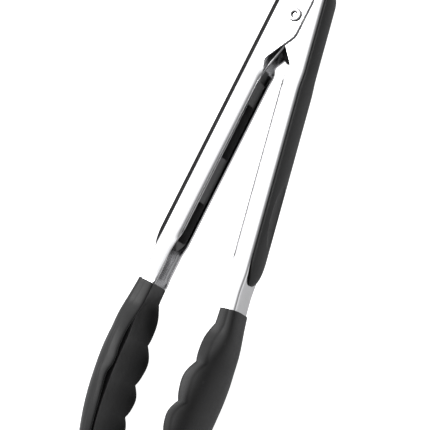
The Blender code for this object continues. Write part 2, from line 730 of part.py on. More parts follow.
def build_lock_slider():
    half = SLIDER_HALF_WIDTH
    wide = SHOULDER_HALF_WIDTH
    right = ((SLIDER_TOP, 3.6), (SLIDER_TOP + 0.5, 4.7), (SLIDER_TOP + 1.6, 5.2), (-14.0, 5.2),
             (-12.0, half), (-7.0, half), (-5.4, wide - 0.5), (-4.4, wide), (-0.6, wide),
             (1.0, wide - 0.9), (3.0, half), (12.5, half), (14.0, 5.8), (18.8, 1.8),
             (19.6, 1.1), (SLIDER_HEAD, 0.6))
    slider = finish("lock_slider", prism(0, mirrored(right), SLIDER_LOW_Z, SLIDER_HIGH_Z), HARD_BLACK)
    slot = []
    radius = BUSH_OUTER + 0.3
    for i in range(13):
        a = math.pi * i / 12
        slot.append((SLIDER_TRAVEL + radius * math.sin(a), radius * math.cos(a)))
    for i in range(13):
        a = math.pi * i / 12
        slot.append((-radius * math.sin(a), -radius * math.cos(a)))
    boolean(slider, prism(0, slot, SLIDER_LOW_Z - 1, SLIDER_HIGH_Z + 1), "DIFFERENCE")
    for s in TAB_RIVETS:
        hole = circle_outline(s, 0, TAB_RIVET_RADIUS + 0.1)
        boolean(slider, prism(0, hole, SLIDER_LOW_Z - 1, SLIDER_HIGH_Z + 1), "DIFFERENCE")
    return slider


def tab_section(scale, z):
    """Outline of the pull tab, drawn in by scale at its rounded edges."""
    neck = TAB_NECK_HALF_WIDTH - scale
    wide = TAB_HALF_WIDTH - scale
    outline = [(TAB_START - scale, neck - 1.0), (TAB_START - scale - 1.0, neck)]
    outline.append((TAB_START - 4.5, neck))
    for i in range(9):
        a = math.radians(38.0 + (90.0 + 52.0) * i / 8)
        outline.append((TAB_CENTRE + wide * math.cos(a), wide * math.sin(a)))
    return [place(0, s, x, z) for s, x in mirrored(outline)]


def build_pull_tab():
    low = SLIDER_HIGH_Z + GAP
    high = low + TAB_THICKNESS
    soft = 0.9
    levels = ((soft, low), (soft * 0.3, low + soft * 0.3), (0.0, low + soft), (0.0, high - soft),
              (soft * 0.3, high - soft * 0.3), (soft, high))
    tab = finish("pull_tab", loft([tab_section(inset, z) for inset, z in levels]), HARD_BLACK)
    rings = []
    for grow, z in ((1.4, low - 0.5), (0.5, low + 0.4), (0.0, low + 1.3), (0.0, high - 1.3),
                    (0.5, high - 0.4), (1.4, high + 0.5)):
        hole = circle_outline(TAB_CENTRE, 0, TAB_HOLE_HALF_WIDTH + grow, 32)
        rings.append([place(0, s, x, z) for s, x in hole])
    boolean(tab, loft(rings), "DIFFERENCE")
    for s in TAB_RIVETS:
        hole = circle_outline(s, 0, TAB_RIVET_RADIUS + 0.1)
        boolean(tab, prism(0, hole, low - 1, high + 1), "DIFFERENCE")
    return tab


def build_tab_rivet(s, name):
    low = SLIDER_LOW_Z - 0.1
    high = SLIDER_HIGH_Z + GAP + TAB_THICKNESS + 0.1
    shank = TAB_RIVET_RADIUS
    profile = ((0.4, low - 0.7), (1.4, low - 0.5), (1.9, low), (shank, low), (shank, high),
               (1.9, high), (1.4, high + 0.5), (0.4, high + 0.7))
    return finish(name, turned(0, s, 0, profile, 20), STEEL)


def main():
    clear_scene()
    for side, word in ((-1, "left"), (1, "right")):
        build_arm(side, word + "_arm")
        build_grip(side, word + "_grip")
        build_core(side, word + "_grip_core")
        build_head(side, word + "_head")
        build_plate(side, word + "_head_core")
        for number, s in enumerate(TONGUE_HOLES, 1):
            build_head_rivet(side, s, f"{word}_head_rivet_{number}")
    build_pivot_rivet()
    build_washers()
    build_bushing()
    build_torsion_spring()
    build_lock_slider()
    build_pull_tab()
    for number, s in enumerate(TAB_RIVETS, 1):
        build_tab_rivet(s, f"tab_rivet_{number}")


main()
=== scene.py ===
"""Visual model of the spring loaded kitchen tongs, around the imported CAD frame.

Sizes are in millimetres in an arm's own frame until place() turns them into metres:
s runs from the pivot to the head, x points away from the other arm, z runs along the
pivot axis.  side is -1 for the left arm, 1 for the right arm and 0 for the middle line.
"""

import math

import bpy
import numpy as np
from mathutils import Matrix, Vector

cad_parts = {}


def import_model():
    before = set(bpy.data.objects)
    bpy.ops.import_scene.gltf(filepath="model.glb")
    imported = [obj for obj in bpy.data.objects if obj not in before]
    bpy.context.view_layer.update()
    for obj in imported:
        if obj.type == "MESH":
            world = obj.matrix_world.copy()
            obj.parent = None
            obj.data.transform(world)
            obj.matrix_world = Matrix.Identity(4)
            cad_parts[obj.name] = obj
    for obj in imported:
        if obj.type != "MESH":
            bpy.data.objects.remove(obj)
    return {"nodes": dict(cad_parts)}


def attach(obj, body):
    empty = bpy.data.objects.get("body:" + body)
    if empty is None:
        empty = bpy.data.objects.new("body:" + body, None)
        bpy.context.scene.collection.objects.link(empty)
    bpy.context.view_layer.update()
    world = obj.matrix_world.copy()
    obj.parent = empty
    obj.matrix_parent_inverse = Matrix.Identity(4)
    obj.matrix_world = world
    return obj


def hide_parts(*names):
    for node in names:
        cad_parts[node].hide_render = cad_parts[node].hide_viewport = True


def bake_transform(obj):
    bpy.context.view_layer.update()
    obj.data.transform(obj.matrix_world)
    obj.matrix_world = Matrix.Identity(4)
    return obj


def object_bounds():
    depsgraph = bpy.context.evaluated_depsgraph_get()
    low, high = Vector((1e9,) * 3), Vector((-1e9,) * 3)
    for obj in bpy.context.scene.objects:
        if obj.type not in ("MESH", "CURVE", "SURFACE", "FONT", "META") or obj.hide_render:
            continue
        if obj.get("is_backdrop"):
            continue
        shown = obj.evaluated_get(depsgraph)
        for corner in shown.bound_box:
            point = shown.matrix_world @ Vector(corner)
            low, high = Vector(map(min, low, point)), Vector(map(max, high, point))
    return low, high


MM = 0.001
HALF_OPENING = math.radians(5.95)
PIVOT = np.array((0.0, 94.12, 18.82))

SHEET = 0.9
ARM_TOP = -14.0
ARM_HALF_WIDTH = 8.5
INNER_EAR_HALF_WIDTH = 6.9
WEB_UPPER = 11.0
WEB_LOWER = 10.25
BEND = 1.7
LIP_ROLL = 2.5
LIP_ROLL_START = (25.0, 36.0)        # the lips roll in and out again over these runs of s
LIP_ROLL_FADE = (108.0, 119.0)
LIP_LEAN = 0.5                       # radians that the plain lip below the core leans in
LIP_LEAN_START = (104.0, 119.0)
LIP_LEAN_FADE = (131.0, 137.0)
WEB_STEP = (118.0, 130.0)            # run over which the web steps down to its lower height
EAR_WIDENING = (23.5, 34.0)          # run over which the inner ears widen to the arm
FLANGE_END = 143.0
TONGUE_NECK = 3.0
TONGUE_FLANGE = 0.4
TONGUE_END = 158.0
TONGUE_HALF_WIDTH = 5.4
EAR_OUTLINE = ((-14.0, 1.0), (-13.6, -1.2), (-12.4, -3.0), (-10.8, -4.1), (-9.0, -4.5),
               (7.6, -4.5), (9.0, -4.3), (10.2, -3.8), (11.4, -3.1), (22.6, 3.3),
               (23.6, 3.6), (24.6, 3.5), (27.0, 2.4), (29.0, 1.95), (31.0, 1.8),
               (112.0, 1.8), (120.0, 2.8), (136.2, 2.8), (138.2, 4.2), (143.0, 4.2))

GAP = 0.2
GRIP_TOP = -14.6
GRIP_END = 124.0
GRIP_INSET = 0.6
GRIP_WALL = 1.0
GRIP_CROWN = 1.9
GRIP_UNDERCUT = 0.55
THUMB_REST = 91.0
THUMB_REST_HALF = 14.5
THUMB_REST_HALF_WIDTH = 4.9
THUMB_REST_DEPTH = 1.2
GRIP_SHARES = (1.0, 0.985, 0.96, 0.93) + tuple((22 - i) / 24 for i in range(23))

HEAD_TOP = 137.0
HEAD_TIP = 228.0
SIDE_BAND = 5.0
SIDE_BAND_LOW = 3.2
BAND_STEP = 0.3
RIM_THICKNESS = 1.5
PALM_DISH = 2.4
PALM_DISH_START = 150.0
PALM_DISH_FADE = (212.0, 226.0)
SLOT_WIDTH = 3.6
SLOT_DEPTH = 4.5
SLOT_START = (150.0, 164.0)          # the slot beside the palm opens and closes here
SLOT_FADE = (212.0, 223.0)
BAND_NARROWING = (174.0, 190.0)
BOXY_TOP = (143.0, 164.0)            # run over which the boxy top turns into the round back
TIP_ROUNDING = 1.3
HEAD_HALF_WIDTHS = ((137, 9.6), (143, 9.7), (148, 10.2), (152, 11.6), (157, 13.8),
                    (163, 16.2), (170, 17.9), (178, 18.7), (187, 18.8), (197, 18.5),
                    (206, 17.2), (214, 14.7), (220, 11.6), (224.5, 8.0), (227, 4.6),
                    (228, 2.4))
HEAD_BACKS = ((137, 11.6), (143, 12.0), (150, 12.6), (162, 12.8), (175, 11.6),
              (184, 10.2), (190, 9.2), (197, 7.6), (211, 3.6), (222, 0.2), (228, -1.6))
HEAD_RIMS = ((137, 3.3), (146, 2.9), (163.3, 1.7), (182, -0.5), (197, -3.2),
             (212, -6.1), (222, -7.6), (228, -7.4))
HEAD_LOW_RIMS = ((137, 2.4), (150, 2.1), (156, 1.9), (161, 1.4), (166, 0.6), (170.4, -0.3),
                 (173.5, -1.1), (177.4, -1.3), (181.6, -0.7), (187.8, -1.9), (192.4, -3.0),
                 (198.8, -4.2), (205.8, -5.3), (212, -6.3), (222, -7.6), (228, -7.2))
PALM_EDGES = ((137, 2.8), (143, 3.2), (150, 3.0), (156, 2.3), (170, 0.3), (184, -1.2),
              (203, -3.8), (214, -5.6), (222, -6.8), (228, -6.8))
HEAD_LOBES = ((144.5, 163.3, 2.2), (163.3, 182, 2.8), (182, 197, 2.6), (197, 211, 2.3),
              (211, 225, 1.6))
PALM_SHARES = (0.0, 0.03, 0.08, 0.16, 0.26, 0.36, 0.46, 0.56, 0.66, 0.74, 0.81,
               0.87, 0.92, 0.96, 1.0)

WIRE_RADIUS = 0.65
COIL_RADIUS = 3.75
COIL_TURNS = 4
COIL_TOP = 4.6
COIL_PITCH = 1.6
LEG_END = 31.0
LEG_SEAT = 4.3

RIVET_RADIUS = 2.0
RIVET_HEAD_RADIUS = 3.3
RIVET_HEAD_HEIGHT = 1.3
RIVET_HOLLOW_RADIUS = 1.1

TAB_CENTRE = -29.5
TAB_START = -15.2
TAB_LOW = -3.7
TAB_THICKNESS = 4.8
TAB_NECK_HALF_WIDTH = 5.6
TAB_HALF_WIDTH = 9.8
TAB_HOLE_HALF_WIDTH = 4.9
TAB_OUTER_EDGE = 1.0
TAB_HOLE_EDGE = 1.3

CAMERA_TURN = math.radians(74.511)
CAMERA_HEIGHT = math.radians(66.622)
CAMERA_ROLL = math.radians(-54.503)
CAMERA_DISTANCE = 0.9
CAMERA_TARGET = (-3.42, -3.20, 21.60)
CAMERA_LENS = 167.44
CAMERA_SENSOR = 36.0
BRIGHT_SIDE = (-0.62, 0.12, 0.78)
WORLD_STRENGTH = 1.35
FLOOR_HALF_WIDTH = 4.0
FLOOR_DROP = 0.0002
FLOOR_GLOW = 0.25                    # what the tongs see of the floor; the camera sees 1

# --- curves and tables -------------------------------------------------------------


def smooth_table(table, s):
    """Value at s of a table of (s, value), eased by a cubic through its points."""
    if s <= table[0][0]:
        return table[0][1]
    if s >= table[-1][0]:
        return table[-1][1]
    i = 0
    while table[i + 1][0] < s:
        i += 1
    s0, v0 = table[i]
    s1, v1 = table[i + 1]
    step = s1 - s0
    m = (v1 - v0) / step
    before = m if i == 0 else (v0 - table[i - 1][1]) / (s0 - table[i - 1][0])
    after = m if i + 2 >= len(table) else (table[i + 2][1] - v1) / (table[i + 2][0] - s1)
    m0 = (before + m) / 2
    m1 = (after + m) / 2
    t = (s - s0) / step
    h0 = (1 + 2 * t) * (1 - t) ** 2
    h1 = t * (1 - t) ** 2
    h2 = t * t * (3 - 2 * t)
    h3 = t * t * (t - 1)
    return h0 * v0 + h1 * step * m0 + h2 * v1 + h3 * step * m1


def ease(a, b, s):
    """0 below a, 1 above b, smooth between them."""
    t = min(max((s - a) / (b - a), 0.0), 1.0)
    return t * t * (3 - 2 * t)


def steps(a, b, size):
    """Evenly spaced values from a to b, about size apart."""
    return list(np.linspace(a, b, max(int(round((b - a) / size)), 1) + 1))


def place(side, s, x, z):
    """Points of an arm's frame, or of the middle line's with side 0, in metres."""
    if side == 0:
        point = (x, PIVOT[1] - s, PIVOT[2] + z)
    else:
        across = side * (s * math.sin(HALF_OPENING) + x * math.cos(HALF_OPENING))
        along = PIVOT[1] - s * math.cos(HALF_OPENING) + x * math.sin(HALF_OPENING)
        point = (across, along, PIVOT[2] + z)
    return np.array(point) * MM


def rounded_edge(s):
    """The ear's and lip's free edge, with its corners rounded."""
    total = 0.0
    for k in range(-4, 5):
        at = min(max(s + k * 0.22, EAR_OUTLINE[0][0]), EAR_OUTLINE[-1][0])
        points = [p[0] for p in EAR_OUTLINE]
        values = [p[1] for p in EAR_OUTLINE]
        total += float(np.interp(at, points, values)) * math.exp(-(k / 2.4) ** 2)
    weight = sum(math.exp(-(k / 2.4) ** 2) for k in range(-4, 5))
    return total / weight


def corner_cut(points, times):
    """A closed outline with its corners rounded by cutting them."""
    points = np.asarray(points, float)
    for _ in range(times):
        ahead = np.roll(points, -1, axis=0)
        cut = np.empty((len(points) * 2, points.shape[1]))
        cut[0::2] = points * 0.75 + ahead * 0.25
        cut[1::2] = points * 0.25 + ahead * 0.75
        points = cut
    return points


# --- meshes ------------------------------------------------------------------------


def make_mesh(name, points, faces, look, sharp=40.0):
    mesh = bpy.data.meshes.new(name)
    mesh.from_pydata([tuple(p) for p in points], [], faces)
    mesh.validate()
    mesh.update()
    obj = bpy.data.objects.new(name, mesh)
    bpy.context.scene.collection.objects.link(obj)
    turn_outwards(mesh)
    mesh.shade_smooth()
    mesh.set_sharp_from_angle(angle=math.radians(sharp))
    mesh.materials.append(look)
    return obj


def turn_outwards(mesh):
    """Flip every face when the closed mesh is inside out."""
    mesh.calc_loop_triangles()
    volume = 0.0
    for tri in mesh.loop_triangles:
        a, b, c = (mesh.vertices[i].co for i in tri.vertices)
        volume += a.dot(b.cross(c))
    if volume < 0:
        mesh.flip_normals()


def loft(name, rings, look, sharp=40.0):
    """A closed body through rings, each end closed by a fan about its middle."""
    rings = np.asarray(rings, float)
    rows, count = rings.shape[:2]
    points = list(rings.reshape(-1, 3))
    faces = []
    for i in range(rows - 1):
        for j in range(count):
            k = (j + 1) % count
            a = i * count
            b = a + count
            faces.append((a + j, a + k, b + k, b + j))
    for row, flip in ((0, True), (rows - 1, False)):
        centre = len(points)
        points.append(rings[row].mean(axis=0))
        for j in range(count):
            k = (j + 1) % count
            corners = (row * count + j, row * count + k, centre)
            faces.append(tuple(reversed(corners)) if flip else corners)
    return make_mesh(name, points, faces, look, sharp)


def ring_body(name, rings, look, sharp=40.0):
    """A closed body through rings whose last one meets the first."""
    rings = np.asarray(rings, float)
    rows, count = rings.shape[:2]
    faces = []
    for i in range(rows):
        for j in range(count):
            k = (j + 1) % count
            a = i * count
            b = ((i + 1) % rows) * count
            faces.append((a + j, a + k, b + k, b + j))
    return make_mesh(name, list(rings.reshape(-1, 3)), faces, look, sharp)


# --- steel arms --------------------------------------------------------------------


def web_face(s):
    """Distance of the web's outer face from the pivot plane."""
    return WEB_UPPER + (WEB_LOWER - WEB_UPPER) * ease(*WEB_STEP, s)


def arm_half_width(side, s):
    """Half the arm's width; the right arm narrows to fit between the left's ears."""
    ear = ARM_HALF_WIDTH if side < 0 else INNER_EAR_HALF_WIDTH
    width = ear + (ARM_HALF_WIDTH - ear) * ease(*EAR_WIDENING, s)
    return width + (TONGUE_HALF_WIDTH - width) * ease(FLANGE_END, FLANGE_END + TONGUE_NECK, s)


def flange_path(side, s):
    """Centre line of half the channel section as (x, z, normal x, normal z)."""
    half = SHEET / 2
    width = arm_half_width(side, s)
    face = web_face(s)
    bend = BEND - half
    points = [(face - half, (width - BEND) * t, 1.0, 0.0) for t in (0, 0.35, 0.7)]
    for i in range(9):
        a = math.pi / 2 * i / 8
        points.append((face - BEND + bend * math.cos(a), width - BEND + bend * math.sin(a),
                       math.cos(a), math.sin(a)))
    roll = math.pi / 2 * ease(*LIP_ROLL_START, s) * (1 - ease(*LIP_ROLL_FADE, s))
    lean = LIP_LEAN * ease(*LIP_LEAN_START, s) * (1 - ease(*LIP_LEAN_FADE, s))
    roll = max(roll, lean, 0.001)
    tail = (LIP_ROLL - half) * math.pi / 2
    edge = rounded_edge(s)
    tongue = ease(FLANGE_END, FLANGE_END + TONGUE_NECK, s)
    tail += (TONGUE_FLANGE - tail) * tongue
    edge += (face - BEND - 0.8 - edge) * tongue
    radius = tail / roll
    start = edge + half * math.sin(roll) + radius * math.sin(roll)
    z_edge = width - half
    bend_end = face - BEND
    for t in (0.33, 0.66):
        points.append((bend_end + (start - bend_end) * t, z_edge, 0.0, 1.0))
    for i in range(13):
        a = roll * i / 12
        points.append((start - radius * math.sin(a), z_edge - radius * (1 - math.cos(a)),
                       -math.sin(a), math.cos(a)))
    return points


def channel_ring(side, s, thick):
    """The outline of the sheet steel section at s, its free edges rounded."""
    half = SHEET / 2 * thick
    path = flange_path(side, s)
    x, z, nx, nz = path[-1]
    tip_x = x + nz * half * 0.8
    tip_z = z - nx * half * 0.8
    outer = [(px + pnx * half, pz + pnz * half) for px, pz, pnx, pnz in path[:-1]]
    inner = [(px - pnx * half, pz - pnz * half) for px, pz, pnx, pnz in path[:-1]]
    cap = []
    for i in range(7):
        a = math.pi / 2 - math.pi * i / 6
        cap.append((tip_x + nx * half * math.sin(a) - nz * half * math.cos(a),
                    tip_z + nz * half * math.sin(a) + nx * half * math.cos(a)))
    side_up = outer + cap + list(reversed(inner))
    side_down = [(px, -pz) for px, pz in reversed(side_up[1:-1])]
    return [place(side, s, px, pz) for px, pz in side_up + side_down]


def arm_stations():
    run = [ARM_TOP, ARM_TOP + 0.05, ARM_TOP + 0.15, ARM_TOP + 0.3]
    run += steps(-13.5, -8.5, 0.25) + steps(-7, 6, 2.0) + steps(7, 13, 0.35)
    run += steps(14, 22, 1.0) + steps(22.3, 36, 0.35) + steps(38, 106, 2.0)
    run += steps(107, 133, 0.6) + steps(134, 146, 0.5) + [150, 154, TONGUE_END - 0.3]
    return sorted(set(round(float(v), 3) for v in run + [TONGUE_END]))


def build_arm(side, name, look):
    rings = []
    for s in arm_stations():
        end = min((s - ARM_TOP + 0.02) / 0.3, (TONGUE_END - s + 0.1) / 0.4, 1.0)
        rings.append(channel_ring(side, s, math.sqrt(max(1 - (1 - end) ** 2, 0.01))))
    return loft(name, rings, look, 50.0)


# --- grips -------------------------------------------------------------------------


def grip_shape(side, s):
    """Half width, side height and crown rise of the soft grip at s."""
    top = min((s - GRIP_TOP) / 6.0, 1.0)
    top = math.sqrt(max(1 - (1 - top) ** 2, 0.0))
    low = min((GRIP_END - s) / 13.0, 1.0)
    low = math.sqrt(max(1 - (1 - low) ** 2, 0.0))
    half_width = max((arm_half_width(side, s) - GRIP_INSET) * low, 0.9)
    full = (0.4 + 0.6 * top) * (0.45 + 0.55 * low)
    return half_width, GRIP_WALL * full, GRIP_CROWN * top * low


def grip_ring(side, s):
    """Section of the soft grip: flat on the web, undercut sides and a low crown."""
    half_width, wall, crown = grip_shape(side, s)
    seat = web_face(s) + GAP
    foot = half_width - min(GRIP_UNDERCUT, half_width * 0.4)
    half = [(seat, 0.0), (seat, foot), (seat + wall * 0.85, half_width)]
    for share in GRIP_SHARES:
        z = half_width * share
        rise = crown * (1 - share ** 2.2)
        rest = 1 - (z / THUMB_REST_HALF_WIDTH) ** 2 - ((s - THUMB_REST) / THUMB_REST_HALF) ** 2
        rise -= THUMB_REST_DEPTH * max(rest, 0.0) ** 0.75
        half.append((seat + wall + rise, z))
    half[3] = (half[3][0], half_width - min(0.12, half_width * 0.1))
    mirror = [(x, -z) for x, z in half[1:-1]]
    return [place(side, s, x, z) for x, z in half + list(reversed(mirror))]


def build_grip(side, name, look):
    run = steps(GRIP_TOP, -8, 0.35) + steps(-7, 22, 1.0) + steps(23, 35, 0.6)
    run += steps(36, 74, 1.5) + steps(75, 108, 0.8) + steps(108.5, GRIP_END, 0.35)
    return loft(name, [grip_ring(side, s) for s in run], look, 60.0)


# --- heads -------------------------------------------------------------------------


def head_rim(s):
    """Distance of the scalloped rim from the pivot plane."""
    rim = smooth_table(HEAD_RIMS, s)
    for s0, s1, depth in HEAD_LOBES:
        if s0 < s < s1:
            t = (s - s0) / (s1 - s0)
            t += 0.08 * math.sin(math.pi * t) ** 2
            rim -= depth * math.sin(math.pi * t) ** 0.85
    return rim


def side_half(s, rim, width, sign):
    """One side's outline from its crest over the proud band and round the back."""
    back = smooth_table(HEAD_BACKS, s)
    band = SIDE_BAND + (SIDE_BAND_LOW - SIDE_BAND) * ease(*BAND_NARROWING, s)
    band = min(band, (back - rim) * 0.45)
    crest = min(RIM_THICKNESS, width * 0.35)
    step = min(BAND_STEP, width * 0.05)
    half = [(rim, width - crest * 0.7), (rim + 0.05, width - crest * 0.3),
            (rim + band * 0.2, width), (rim + band * 0.85, width)]
    start = min(smooth_table(HEAD_RIMS, s) + 1.5, rim + band)
    low = rim + band + 0.5
    boxy = 1 - ease(*BOXY_TOP, s)
    for i in range(13):
        a = math.pi / 2 * i / 13
        x = low + (back - low) * math.sin(a)
        bulge = min(max((x - start) / (back - start), 0.0), 1.0) ** (2.2 + 4.5 * boxy)
        half.append((x, (width - step) * (1 - bulge) ** (0.5 - 0.12 * boxy)))
    return [(x, sign * z) for x, z in half]


def slot_share(s):
    """How far the slot beside the palm is open at s: 0 is shut and 1 is open."""
    return ease(*SLOT_START, s) * (1 - ease(*SLOT_FADE, s))


def palm_half_width(s, width):
    """Distance from the middle to the palm's edge on the slotted side."""
    crest = min(RIM_THICKNESS, width * 0.35)
    return max(width - crest - 0.8 - SLOT_WIDTH * slot_share(s), width * 0.45)


def head_outline(s):
    """The head's section at s.

    One side has the high scallops, the other a low wall with a slot beside the palm.
    """
    width = smooth_table(HEAD_HALF_WIDTHS, s)
    back = smooth_table(HEAD_BACKS, s)
    crest = min(RIM_THICKNESS, width * 0.35)
    high = head_rim(s)
    low = smooth_table(HEAD_LOW_RIMS, s)
    notch = smooth_table(HEAD_RIMS, s)
    palm = smooth_table(PALM_EDGES, s)
    edge = palm_half_width(s, width)
    dish = PALM_DISH * ease(HEAD_TOP, PALM_DISH_START, s) * (1 - ease(*PALM_DISH_FADE, s))
    outline = []
    for u in PALM_SHARES:
        z = -edge + (edge + width - crest) * u
        x = palm + (notch + 0.25 - palm) * u
        x = x + dish * 4 * u * (1 - u) + (high - notch) * u ** 6
        outline.append((x, z))
    outline += side_half(s, high, width, 1) + [(back, 0.0)]
    outline += list(reversed(side_half(s, low, width, -1)))
    depth = min(SLOT_DEPTH, (back - palm) * 0.36)
    sunk = ((low + 0.4, -width + crest), (palm + depth, -width + crest + 0.6),
            (palm + depth, -edge - 0.15), (palm + 0.3, -edge - 0.1))
    slot = slot_share(s)
    for i, (x, z) in enumerate(sunk, 1):
        flat_x = low + (palm - low) * 0.2 * i
        flat_z = -width + crest * 0.7 + (width - crest * 0.7 - edge) * 0.2 * i
        outline.append((flat_x + (x - flat_x) * slot, flat_z + (z - flat_z) * slot))
    return outline


def head_ring(side, s, inset):
    """The rounded section, drawn in by inset; the right head is turned half round."""
    outline = corner_cut(head_outline(s), 2)
    middle = outline.mean(axis=0)
    away = outline - middle
    length = np.maximum(np.linalg.norm(away, axis=1, keepdims=True), 1e-6)
    outline = outline - away / length * np.minimum(inset, length * 0.6)
    return [place(side, s, x, side * z) for x, z in outline]


def build_head(side, name, look):
    run = [(HEAD_TOP, 0.35), (HEAD_TOP + 0.06, 0.18), (HEAD_TOP + 0.2, 0.05)]
    tip_start = HEAD_TIP - TIP_ROUNDING
    run += [(s, 0.0) for s in steps(HEAD_TOP + 0.5, tip_start, 0.5)]
    for t in (0.2, 0.4, 0.6, 0.75, 0.87, 0.95, 1.0):
        run.append((tip_start + TIP_ROUNDING * t, 2.0 * (1 - math.sqrt(1 - t * t))))
    return loft(name, [head_ring(side, s, inset) for s, inset in run], look, 50.0)


# --- hinge -------------------------------------------------------------------------


def build_rivet(name, look):
    """The hollow pivot rivet with a domed, rolled rim on both sides."""
    face = ARM_HALF_WIDTH + 0.05
    rim = face + RIVET_HEAD_HEIGHT
    half = [(RIVET_RADIUS, face), (RIVET_HEAD_RADIUS - 0.1, face),
            (RIVET_HEAD_RADIUS, face + 0.12), (RIVET_HEAD_RADIUS - 0.03, face + 0.4)]
    middle = (RIVET_HEAD_RADIUS + RIVET_HOLLOW_RADIUS) / 2
    reach = (RIVET_HEAD_RADIUS - RIVET_HOLLOW_RADIUS) / 2
    height = rim - face - 0.4
    for i in range(1, 12):
        a = math.pi * i / 12
        half.append((middle + (reach - 0.03) * math.cos(a),
                     face + 0.4 + height * math.sin(a) ** 0.9))
    half += [(RIVET_HOLLOW_RADIUS, face + 0.3), (RIVET_HOLLOW_RADIUS - 0.25, face - 0.1),
             (0.45, face - 0.15)]
    profile = [(r, -z) for r, z in reversed(half)] + half
    turn = [2 * math.pi * i / 72 for i in range(72)]
    rings = []
    for radius, z in profile:
        rings.append([place(0, radius * math.sin(a), radius * math.cos(a), z) for a in turn])
    return ring_body(name, rings, look, 50.0)


def spring_path():
    """Centre line of the wire: left leg, coil, right leg, in the middle line's frame."""
    seat = LEG_SEAT - WIRE_RADIUS - GAP
    tip_s = LEG_END * math.cos(HALF_OPENING) - seat * math.sin(HALF_OPENING)
    tip_x = LEG_END * math.sin(HALF_OPENING) + seat * math.cos(HALF_OPENING)
    reach = math.hypot(tip_s, tip_x)
    start = math.acos(COIL_RADIUS / reach) - math.atan2(tip_x, tip_s)
    touch_s = COIL_RADIUS * math.cos(start)
    touch_x = COIL_RADIUS * math.sin(start)
    sweep = 2 * math.pi * COIL_TURNS - 2 * start
    low = COIL_TOP - COIL_PITCH * sweep / (2 * math.pi)
    leg = [0.0, 0.008, 0.02] + steps(0.1, 0.9, 0.1) + [0.97]
    points = []
    for t in leg:
        points.append((tip_s + (touch_s - tip_s) * t, -tip_x + (touch_x + tip_x) * t, COIL_TOP))
    count = int(40 * sweep / (2 * math.pi))
    for i in range(count + 1):
        a = start + sweep * i / count
        z = COIL_TOP + (low - COIL_TOP) * i / count
        points.append((COIL_RADIUS * math.cos(a), COIL_RADIUS * math.sin(a), z))
    for t in reversed(leg):
        points.append((tip_s + (touch_s - tip_s) * t, tip_x - (touch_x + tip_x) * t, low))
    return [Vector(place(0, s, x, z)) for s, x, z in points]


def build_spring(name, look):
    """The wire, with each of its ends rounded."""
    path = spring_path()
    up = Vector((0, 0, 1))
    turn = [2 * math.pi * k / 16 for k in range(16)]
    rings = []
    for i, point in enumerate(path):
        ahead = (path[min(i + 1, len(path) - 1)] - path[max(i - 1, 0)]).normalized()
        side = ahead.cross(up).normalized()
        top = side.cross(ahead).normalized()
        end = min(i, len(path) - 1 - i)
        radius = WIRE_RADIUS * MM * (0.6, 0.88, 1.0)[min(end, 2)]
        rings.append([point + (side * math.cos(a) + top * math.sin(a)) * radius for a in turn])
    return loft(name, rings, look, 60.0)


# --- lock --------------------------------------------------------------------------


def tab_reach(a):
    """Distance from the hanging hole's centre to the tab's outline, at angle a."""
    s_way = math.cos(a)
    x_way = math.sin(a)
    if s_way <= 0.3:
        return TAB_HALF_WIDTH
    neck = TAB_NECK_HALF_WIDTH / max(abs(x_way), 1e-6)
    end = (TAB_START - TAB_CENTRE - 0.1) / s_way
    power = 14.0
    straight = (neck ** -power + end ** -power) ** (-1 / power)
    blend = 7.0
    return (straight ** blend + TAB_HALF_WIDTH ** blend) ** (1 / blend) * 0.995


def build_tab(name, look):
    """The pull tab: a soft-edged ring on a short neck."""
    rings = []
    half = TAB_THICKNESS / 2
    edge = TAB_OUTER_EDGE
    hole_edge = TAB_HOLE_EDGE
    for i in range(240):
        a = 2 * math.pi * i / 240
        outer = tab_reach(a)
        inner = TAB_HOLE_HALF_WIDTH
        ring = []
        for k in range(9):
            b = math.pi / 2 - math.pi * k / 8
            z = half - edge if b > 0 else -half + edge
            ring.append((outer - edge + edge * math.cos(b), z + edge * math.sin(b)))
        for k in range(9):
            b = -math.pi / 2 + math.pi * k / 8
            z = half - hole_edge if b > 0 else -half + hole_edge
            x = inner + hole_edge - hole_edge * math.cos(b)
            ring.append((x, z + hole_edge * math.sin(b)))
        rings.append([place(0, TAB_CENTRE + r * math.cos(a), r * math.sin(a),
                            TAB_LOW + half + z) for r, z in ring])
    return ring_body(name, rings, look, 60.0)


# --- materials ---------------------------------------------------------------------


def new_material(name):
    mat = bpy.data.materials.new(name)
    mat.use_nodes = True
    return mat, mat.node_tree, mat.node_tree.nodes["Principled BSDF"]


def add(tree, kind, **values):
    node = tree.nodes.new(kind)
    for key, value in values.items():
        setattr(node, key, value)
    return node


def noise(tree, scale, detail=4.0, stretch=(1.0, 1.0, 1.0)):
    """Noise over the object's own coordinates, stretched along its axes."""
    coords = add(tree, "ShaderNodeTexCoord")
    mapping = add(tree, "ShaderNodeMapping")
    mapping.inputs["Scale"].default_value = stretch
    tree.links.new(coords.outputs["Object"], mapping.inputs["Vector"])
    texture = add(tree, "ShaderNodeTexNoise")
    texture.inputs["Scale"].default_value = scale
    texture.inputs["Detail"].default_value = detail
    tree.links.new(mapping.outputs["Vector"], texture.inputs["Vector"])
    return texture.outputs["Fac"]


def ramp(tree, source, low, high, at=(0.3, 0.7)):
    """Colours from low to high over a value."""
    node = add(tree, "ShaderNodeValToRGB")
    node.color_ramp.elements[0].position = at[0]
    node.color_ramp.elements[1].position = at[1]
    node.color_ramp.elements[0].color = low
    node.color_ramp.elements[1].color = high
    tree.links.new(source, node.inputs["Fac"])
    return node.outputs["Color"]


